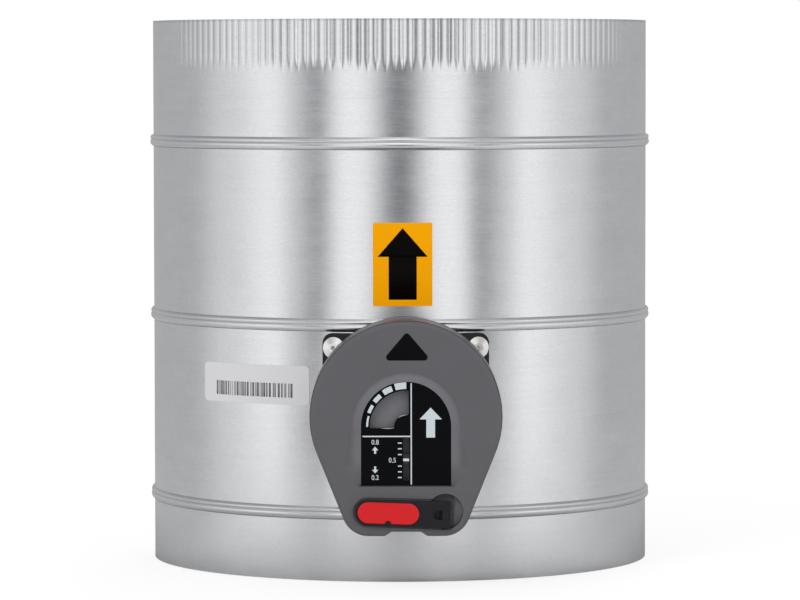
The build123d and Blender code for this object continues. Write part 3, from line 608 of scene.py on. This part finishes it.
def makeMaterials():
    # every metal on the sheet group with its painted crease shade, and every other finish on the grain group with
    # its painted edge highlight
    sheet = sheetAndCreaseShadeGroup()
    grain = grainAndEdgeHighlightGroup()
    made = {}
    for name, (colour, roughness, scale, cloud, streak, depth) in finishes["metals"].items():
        material = newMaterial(name, colour, roughness, Metallic=1.0)
        made[name] = dress(material, sheet, depth, Scale=scale, Cloud=cloud, Streak=streak)
    for name, values in finishes["plastics"].items():
        colour, roughness, specular, grainScale, shade, depth = values
        material = newMaterial(name, colour, roughness, Specular_IOR_Level=specular)
        # the painted edge highlight
        edge = finishes["edgeHighlights"].get(name, 0.0)
        made[name] = dress(material, grain, depth, Grain=grainScale, Shade=shade, Edge=edge)
    return made


def copyFinish(made, base, name):
    # a finish of its own to change, with the Object coordinate to change it by
    material = made[base].copy()
    material.name = name
    made[name] = material
    tree = material.node_tree
    return tree, addNode(tree, "ShaderNodeTexCoord").outputs["Object"]


def makeDepthFinish(made, name, base, depth, front, behind):
    # one tone in front of a depth from the cover's face, and another behind it: a step on y
    tree, where = copyFinish(made, base, name)
    step = mathNode(tree, "GREATER_THAN", splitNode(tree, where)["Y"], faceY + depth * mm)
    tone = mathNode(tree, "MULTIPLY_ADD", step, behind - front, front)
    feed(tree, tone, tree.nodes["Principled BSDF"].inputs["Base Color"])


coverShade = {   # millimetres, from the shaft's line and the duct's foot
    # painted highlight on the slope round the panel's arch, and painted light on the floor of the crank's recess
    "slopeInner": 33.5,   # from the shaft's axis
    "slopeOuter": 38.5,
    "slopeHighlight": 0.42,
    "slopeCrown": 1.4,
    "slopeFoot": (78.0, 90.0),
    "recessWall": 11.8,   # from the crank's axis
    "recessEdge": 0.2,
    "recessLight": 0.75,
}


def makeCoverFinish(made):
    # the moulded grey, with a painted highlight that makes the slope round the panel's arch paler: the group's
    # edge highlight falls to 0 as r = length(x, max(0, z above the shaft)) grows from slopeInner to slopeOuter,
    # is more at the crown by 1 + slopeCrown * z / r, and fades out over the heights slopeFoot
    tree, where = copyFinish(made, "grey_plastic", "cover_grey")
    group = next(node for node in tree.nodes if node.type == "GROUP")
    split = splitNode(tree, where)
    across = mathNode(tree, "SUBTRACT", split["X"], shaftX)
    over = mathNode(tree, "MAXIMUM", mathNode(tree, "SUBTRACT", split["Z"], shaftZ), 0.0)
    squares = mathNode(tree, "MULTIPLY", over, over)
    squares = mathNode(tree, "MULTIPLY_ADD", across, across, squares)
    reach = mathNode(tree, "SQRT", squares)
    inner, outer = coverShade["slopeInner"] * mm, coverShade["slopeOuter"] * mm
    edge = spread(tree, reach, inner, outer, coverShade["slopeHighlight"], 0.0)
    crown = mathNode(tree, "DIVIDE", over, mathNode(tree, "MAXIMUM", reach, mm))
    crown = mathNode(tree, "MULTIPLY_ADD", crown, coverShade["slopeCrown"], 1.0)
    edge = mathNode(tree, "MULTIPLY", edge, crown)
    low, high = coverShade["slopeFoot"]
    edge = mathNode(tree, "MULTIPLY", edge, spread(tree, split["Z"], low * mm, high * mm))
    feed(tree, edge, group.inputs["Edge"])
    # and painted light inside the crank's round recess, which makes its floor paler: colour * (1 + recessLight)
    # nearer than its wall
    flat = vectorNode(tree, "SUBTRACT", where, (crankX, 0, crankZ))
    flat = vectorNode(tree, "MULTIPLY", flat, (1, 0, 1))
    away = vectorNode(tree, "LENGTH", flat)
    wall = coverShade["recessWall"] * mm
    start = wall - coverShade["recessEdge"] * mm
    paler = spread(tree, away, start, wall, 1 + coverShade["recessLight"], 1.0)
    colour = tuple(group.inputs["Colour"].default_value[:3])
    feed(tree, vectorNode(tree, "MULTIPLY", colour, paler), group.inputs["Colour"])


def dressNodes(made):
    # every carried-over node takes the finish of its own material slot, or one of its own
    for node in frame["nodes"].values():
        slot = node.data.materials[0].name.split(".")[0]
        node.data.materials[0] = made[finishes["ofOneNode"].get(node.name, slot)]


# Marks printed on the head, and a painted highlight on the window's edge

display = {   # millimetres across from the shaft's line and up from the duct's foot
    "printLift": 0.06,
    "uprightLine": (3.05, 71.8, 3.9, 140.4),        # left, low, right, high
    "levelLine": (-29.4, 103.95, 3.2, 104.85),
    # degrees round the shaft from its left side: start, end; then the outer radius
    "bars": (
        (0, 16.1, 26.9), (20.5, 32.8, 27.9), (38.4, 50.8, 28.7),
        (56.3, 70.0, 29.4), (74.4, 90.4, 30.1),
    ),
    "barsInside": 25.6,
    "barPoints": 9,
    # an arrow's middle, tip, head's foot, shaft's foot, half head and half shaft
    "bigArrow": (16.6, 123.9, 115.9, 103.6, 7.6, 2.95),
    "smallUpArrow": (-20.9, 97.5, 95.0, 92.7, 2.1, 0.7),
    "smallDownArrow": (-20.9, 79.4, 81.8, 84.1, 2.1, 0.7),
    "ticks": (-5.5, -2.95, 0.8),   # left, right, thickness
    "tickHeights": (99.9, 96.05, 92.1, 84.3, 80.45, 76.6),
    "numbers": (("0.8", -20.9, 100.5), ("0.5", -9.3, 88.3), ("0.2", -20.9, 76.6)),
    "numberHeight": 3.3,
    "numberWide": 0.9,     # share of the font's width
    "numberBold": 0.006,   # thickening, for a font of height 1
    "numberSteps": 6,      # of each curve
    "triangle": ((0.55, 175.4), (-15.9, 155.9), (17.2, 155.9)),
    "triangleCorner": 2.2,
    "triangleLift": 0.12,
}

# painted highlight: pale slivers where the window's cut edge catches the light
litEdge = {   # the lit edge of the panel's window
    "footLeft": -17.5,
    "footDrop": 0.9,       # of the foot's line, under the shaft
    "hubRadius": 8.1,
    "footCorner": 1.0,     # radius between the foot's line and the hub
    "crown": (134, 84),    # degrees round the shaft, from its right side
    "width": 0.42,
    "blunt": 0.02,         # share of its length by which each end is cut short
    "footPoints": 12,
    "cornerPoints": 8,
    "crownPoints": 16,
}


def boxOutline(left, low, right, high):
    # its four corners, anticlockwise
    return np.array([(left, low), (right, low), (right, high), (left, high)])


def arrowOutline(middle, tip, base, foot, headHalf, shaftHalf):
    # seven corners, from the tip down one side to the foot and up the other
    half = np.array([0, -headHalf, -shaftHalf, -shaftHalf, shaftHalf, shaftHalf, headHalf])
    height = np.array([tip, base, base, foot, foot, base, base])
    corners = np.stack([middle + half, height], axis=-1)
    return corners if tip > foot else corners[::-1]


def barOutline(startDegrees, endDegrees, inside, outside):
    # a piece of a ring about the shaft, with angles from its left side upwards
    turn = np.pi - np.radians(np.linspace(startDegrees, endDegrees, display["barPoints"]))
    ring = np.stack([np.cos(turn), np.sin(turn)], axis=-1)
    return np.concatenate([inside * ring, outside * ring[::-1]]) + (0, shaftZ / mm)


def roundCorners(corners, radius, steps=6):
    # each corner becomes an arc that touches both of its sides
    corners = np.array(corners, float)
    before = np.roll(corners, 1, axis=0) - corners
    after = np.roll(corners, -1, axis=0) - corners
    before /= np.linalg.norm(before, axis=1, keepdims=True)
    after /= np.linalg.norm(after, axis=1, keepdims=True)
    half = np.arccos(np.sum(before * after, axis=1)) / 2
    middle = (before + after) / np.linalg.norm(before + after, axis=1, keepdims=True)
    centre = corners + middle * (radius / np.sin(half))[:, None]
    swing = (math.pi / 2 - half)[:, None] * np.linspace(1, -1, steps)[None, :]
    side = np.stack([middle[:, 1], -middle[:, 0]], axis=-1)
    side = side * np.sign(np.sum(side * before, axis=1))[:, None]
    arc = -middle[:, None] * np.cos(swing)[..., None] + side[:, None] * np.sin(swing)[..., None]
    return (centre[:, None] + radius * arc).reshape(-1, 2)


def litOutlines():
    # two slivers of painted highlight on the panel's cut edge, widest in their middle: width * sin(pi t) from t 0
    # to 1, one along the window's foot and round its corner, one over the hub's upper left
    drop = litEdge["footDrop"]
    hub = litEdge["hubRadius"]
    corner = litEdge["footCorner"]
    # the corner's arc touches the foot's line and the hub's circle
    cornerX = -math.sqrt((hub + corner)**2 - (corner - drop)**2)
    end = math.atan2(drop - corner, -cornerX)
    cornerTurn = np.linspace(-math.pi / 2, end, litEdge["cornerPoints"])
    across = np.linspace(litEdge["footLeft"], cornerX, litEdge["footPoints"])
    foot = np.stack([across, np.full(len(across), -drop)], axis=-1)
    bend = np.stack([np.cos(cornerTurn), np.sin(cornerTurn)], axis=-1) * corner
    bend += (cornerX, corner - drop)
    over = np.radians(np.linspace(*litEdge["crown"], litEdge["crownPoints"]))
    crown = hub * np.stack([np.cos(over), np.sin(over)], axis=-1)
    slivers = []
    for path in (np.concatenate([foot, bend[1:]]), crown):
        along = np.gradient(path, axis=0)
        along /= np.linalg.norm(along, axis=1, keepdims=True)
        length = np.cumsum(np.linalg.norm(np.diff(path, axis=0), axis=1))
        share = np.concatenate([[0], length]) / length[-1]
        share = np.clip(share, litEdge["blunt"], 1 - litEdge["blunt"])
        width = litEdge["width"] * np.sin(math.pi * share)
        aside = np.stack([along[:, 1], -along[:, 0]], axis=-1) * width[:, None]
        slivers.append(np.concatenate([path, (path + aside)[::-1]]) + (0, shaftZ / mm))
    return slivers


def slabs(outlines, front, back):
    # each outline at a front and a back depth, with a wall between; anticlockwise from the front,
    # by the sign of its area: the sum of x * next z - z * next x
    points = []
    faces = []
    start = 0
    for outline in outlines:
        after = np.roll(outline, -1, axis=0)
        area = np.sum(outline[:, 0] * after[:, 1] - outline[:, 1] * after[:, 0])
        ring = outline if area > 0 else outline[::-1]
        across, up = shaftX + ring[:, 0] * mm, ring[:, 1] * mm
        count = len(ring)
        for depth in (front, back):
            points.append(np.stack([across, np.full(count, depth), up], axis=-1))
        near = start + np.arange(count)
        far = near + count
        faces.append(near.tolist())
        faces.append(far[::-1].tolist())
        faces += np.stack([near, far, np.roll(far, -1), np.roll(near, -1)], axis=-1).tolist()
        start += 2 * count
    return np.concatenate(points), faces


def printMarks(name, outlines, front, back, material, slot):
    # thin slabs, all in one piece
    points, faces = slabs(outlines, front, back)
    mesh = bpy.data.meshes.new(name)
    mesh.from_pydata(points.tolist(), [], faces)
    place(name, mesh, material, "duct", slot)


def printNumber(name, text, across, up, front, back, material):
    # a flat extruded number, scaled to its height and stood up to face the front
    curve = bpy.data.curves.new(name, "FONT")
    curve.body = text
    curve.extrude = 1.0
    curve.offset = display["numberBold"]
    curve.resolution_u = display["numberSteps"]
    flat = bpy.data.objects.new(name + "Curve", curve)
    bpy.context.scene.collection.objects.link(flat)
    bpy.context.view_layer.update()
    solid = flat.evaluated_get(bpy.context.evaluated_depsgraph_get())
    mesh = bpy.data.meshes.new_from_object(solid)
    bpy.data.objects.remove(flat)
    points = np.zeros(len(mesh.vertices) * 3)
    mesh.vertices.foreach_get("co", points)
    points = points.reshape(-1, 3)
    low, high = points.min(0), points.max(0)
    scale = display["numberHeight"] * mm / (high[1] - low[1])
    middle = (low + high) / 2
    turned = np.stack([
        shaftX + across * mm + (points[:, 0] - middle[0]) * scale * display["numberWide"],
        np.where(points[:, 2] > 0, front, back),
        up * mm + (points[:, 1] - middle[1]) * scale,
    ], axis=-1)
    mesh.vertices.foreach_set("co", turned.ravel())
    mesh.materials.clear()
    mesh.name = name
    place(name, mesh, material, "duct", "white_label")


def makeDisplayMarks(made):
    # lines, bars, arrows, ticks and numbers on the panel, a painted highlight on its lit edge, and the cover's
    # triangle
    front = panelY - display["printLift"] * mm
    outlines = [boxOutline(*display["uprightLine"]), boxOutline(*display["levelLine"])]
    for start, end, outside in display["bars"]:
        outlines.append(barOutline(start, end, display["barsInside"], outside))
    for name in ("bigArrow", "smallUpArrow", "smallDownArrow"):
        outlines.append(arrowOutline(*display[name]))
    left, right, thick = display["ticks"]
    for up in display["tickHeights"]:
        outlines.append(boxOutline(left, up - thick / 2, right, up + thick / 2))
    printMarks("displayMarks", outlines, front, panelY, made["pale_ink"], "white_label")
    printMarks("windowHighlight", litOutlines(), front, panelY, made["lit_edge"], "white_label")
    for order, (text, across, up) in enumerate(display["numbers"], 1):
        printNumber(f"scaleNumber{order}", text, across, up, front, panelY, made["pale_ink"])
    triangle = [roundCorners(display["triangle"], display["triangleCorner"])]
    lifted = faceY - display["triangleLift"] * mm
    printMarks("faceTriangle", triangle, lifted, faceY, made["black_print"], "black_print")


# The white label, and the print on both labels

labels = {   # millimetres
    "gap": 0.05,            # under a label
    "thick": 0.25,
    "lift": 0.30,           # of a label's face over the duct
    "ink": 0.05,
    "plainSpan": (-49.95, -20.45),   # degrees round the duct
    "plainHeights": (120.7, 147.8),
    "plainCorner": 3.0,
    "plainColumns": 40,
    "plainCornerRows": 8,
    "plainSharp": 30,       # degrees
    "arrowMiddle": 2.0,
    "arrowTip": 243.0,
    "arrowBase": 223.5,
    "arrowFoot": 194.1,
    "arrowHeadHalf": 17.2,
    "arrowTipHalf": 0.15,
    "arrowShaftHalf": 9.6,
    "arrowRows": 12,        # of the head
    "arrowColumns": (16, 24),   # of the shaft and of the head
    "stripesTurn": (-45.9, -24.4),   # degrees round the duct
    "stripesHeights": (125.7, 135.4),
    "stripeWidths": (0.5, 0.8, 1.1, 1.6),
    "stripeDraws": 90,      # more than enough to fill the span
    "stripeColumns": 3,
}


def wrapped(lefts, rights, heights, columns, lift=labels["lift"], thick=labels["ink"]):
    # a patch round the duct: across runs from left to right in millimetres of x at each height,
    # and the radius is the duct's and the lift for the back, and the thickness more for the front
    share = np.linspace(0, 1, columns)[None, :]
    across = lefts[:, None] * (1 - share) + rights[:, None] * share
    inner = ductRadius / mm + lift
    turn = np.arcsin(across / inner)
    up = heights[:, None] + 0 * across
    layers = [
        np.stack([radius * np.sin(turn), -radius * np.cos(turn), up], axis=-1)
        for radius in (inner + thick, inner)
    ]
    rows = len(heights)
    size = rows * columns
    front = gridQuads(rows, columns)
    back = front[:, ::-1] + size
    first = np.arange(size).reshape(rows, columns)
    rim = np.concatenate([first[0, :-1], first[:-1, -1], first[-1, :0:-1], first[:0:-1, 0]])
    wall = np.stack([rim, rim + size, np.roll(rim, -1) + size, np.roll(rim, -1)], axis=-1)
    return np.concatenate(layers).reshape(-1, 3), np.concatenate([front, back, wall])


def joinPatches(name, patches, material, slot):
    # all patches in one piece, with the corner numbers of each counted on from the last
    start = 0
    quads = []
    for points, faces in patches:
        quads.append(faces + start)
        start += len(points)
    points = np.concatenate([points for points, faces in patches]) * mm
    place(name, putMesh(name, points, np.concatenate(quads)), material, "duct", slot)


def makePlainLabel(material):
    # its corners are arcs: at a height t over or under its nearer edge, each end draws in by
    # corner - sqrt(corner^2 - (corner - t)^2)
    low, high = labels["plainHeights"]
    corner = labels["plainCorner"]
    steps = corner * (1 - np.cos(np.linspace(0, math.pi / 2, labels["plainCornerRows"])))
    heights = np.concatenate([low + steps, high - steps[::-1]])
    near = np.minimum(np.minimum(heights - low, high - heights), corner)
    inset = corner - np.sqrt(np.maximum(corner**2 - (corner - near)**2, 0))
    radius = ductRadius / mm + labels["gap"]
    start, end = np.radians(labels["plainSpan"])
    lefts = radius * np.sin(start + inset / radius)
    rights = radius * np.sin(end - inset / radius)
    columns = labels["plainColumns"]
    patch, quads = wrapped(lefts, rights, heights, columns, labels["gap"], labels["thick"])
    mesh = putMesh("plainLabel", patch * mm, quads)
    smooth(mesh, labels["plainSharp"])
    place("plainLabel", mesh, material, "duct", "white_label", "plain_label")


def makeLabelPrint(made):
    # the arrow is a straight shaft and a head that narrows to its tip; the stripes' edges are the
    # sums of drawn widths, and every second span between them is inked
    middle = labels["arrowMiddle"]
    foot, base, tip = labels["arrowFoot"], labels["arrowBase"], labels["arrowTip"]
    rows = labels["arrowRows"]
    narrowing = np.linspace(labels["arrowHeadHalf"], labels["arrowTipHalf"], rows)
    half = np.full(2, labels["arrowShaftHalf"])
    shaftColumns, headColumns = labels["arrowColumns"]
    headHeights = np.linspace(base, tip, rows)
    shaft = wrapped(middle - half, middle + half, np.array([foot, base]), shaftColumns)
    head = wrapped(middle - narrowing, middle + narrowing, headHeights, headColumns)
    joinPatches("arrowPrint", [shaft, head], made["black_ink"], "black_print")
    widths = random.choice(labels["stripeWidths"], labels["stripeDraws"])
    edges = np.concatenate([[0], np.cumsum(widths)])
    radius = ductRadius / mm
    start, end = np.radians(labels["stripesTurn"])
    edges = edges[edges < radius * (end - start)]
    spots = radius * np.sin(start + edges / radius)
    heights = np.array(labels["stripesHeights"])
    stripes = [
        wrapped(np.full(2, left), np.full(2, right), heights, labels["stripeColumns"])
        for left, right in zip(spots[0:-1:2], spots[1::2])
    ]
    joinPatches("labelStripes", stripes, made["grey_ink"], "black_print")


# Floor

floorPlan = {   # metres
    "radius": 2.0,
    "innermost": 0.001,
    "rings": 24,
    "spokes": 96,
    "under": 0.0004,      # how far it lies under the duct's foot
    "roughness": 0.9,
    "fadeFrom": 0.45,
    "fadeTo": 1.3,
    "level": 0.80,        # as it lights the object
    "seenLevel": 0.20,    # as the camera sees it, with a white glow added
    "glow": 0.80,
    "mirrorFront": 0.62,  # as the metal reflects it, in front of the object and behind it
    "mirrorBack": 0.42,
    "mirrorTurn": (0.05, -0.30),   # y where that goes from back to front
    "mirrorMiddle": 0.80,   # how much of that is left straight in front of the object
    "middleTurn": (0.10, 0.35),    # |x| where all of it comes back
}


def makeFloor():
    # rings of points on the ground; the floor fades out into the white backdrop
    count, spokes = floorPlan["rings"], floorPlan["spokes"]
    rings = np.linspace(floorPlan["innermost"], floorPlan["radius"], count)[:, None]
    turn = np.linspace(0, 2 * math.pi, spokes, endpoint=False)[None, :]
    up = 0 * rings * turn - floorPlan["under"]
    points = np.stack([rings * np.cos(turn), rings * np.sin(turn), up], axis=-1)
    quads = gridQuads(count, spokes, roundColumns=True)[:, ::-1]
    mesh = putMesh("floor", points.reshape(-1, 3), quads)
    roughness = floorPlan["roughness"]
    material = newMaterial("paleFloor", (1, 1, 1), roughness, Specular_IOR_Level=0.0)
    tree = material.node_tree
    shader = tree.nodes["Principled BSDF"]
    rays = addNode(tree, "ShaderNodeLightPath").outputs
    drop = floorPlan["seenLevel"] - floorPlan["level"]
    tone = mathNode(tree, "MULTIPLY_ADD", rays["Is Camera Ray"], drop, floorPlan["level"])
    where = addNode(tree, "ShaderNodeTexCoord").outputs["Object"]
    split = splitNode(tree, where)
    back, front = floorPlan["mirrorBack"], floorPlan["mirrorFront"]
    mirrored = spread(tree, split["Y"], *floorPlan["mirrorTurn"], back, front)
    aside = mathNode(tree, "ABSOLUTE", split["X"])
    middle = spread(tree, aside, *floorPlan["middleTurn"], floorPlan["mirrorMiddle"], 1.0)
    mirrored = mathNode(tree, "MULTIPLY", mirrored, middle)
    drop = mathNode(tree, "SUBTRACT", mirrored, floorPlan["level"])
    tone = mathNode(tree, "MULTIPLY_ADD", rays["Is Glossy Ray"], drop, tone)
    feed(tree, tone, shader.inputs["Base Color"])
    shader.inputs["Emission Color"].default_value = (1, 1, 1, 1)
    glow = mathNode(tree, "MULTIPLY", rays["Is Camera Ray"], floorPlan["glow"])
    feed(tree, glow, shader.inputs["Emission Strength"])
    reach = vectorNode(tree, "LENGTH", where)
    fade = spread(tree, reach, floorPlan["fadeFrom"], floorPlan["fadeTo"], 1.0, 0.0)
    feed(tree, fade, shader.inputs["Alpha"])
    mesh.materials.append(material)
    floor = bpy.data.objects.new("floor", mesh)
    bpy.context.scene.collection.objects.link(floor)


makeCamera()
makeWorld()
makeLamps()
makeFloor()
bpy.context.scene.view_settings.view_transform = "Standard"
print("studio ready")
made = makeMaterials()
for name, (base, depth, front, behind) in finishes["twoTones"].items():
    makeDepthFinish(made, name, base, depth, front, behind)
makeCoverFinish(made)
dressNodes(made)
print("materials ready:", len(made))
makeTube(made["galvanised_sheet"])
makeCollar(made["galvanised_sheet"])
print("duct ready")
makeDisplayMarks(made)
makePlainLabel(made["white_label"])
makeLabelPrint(made)
print("marks and labels ready")
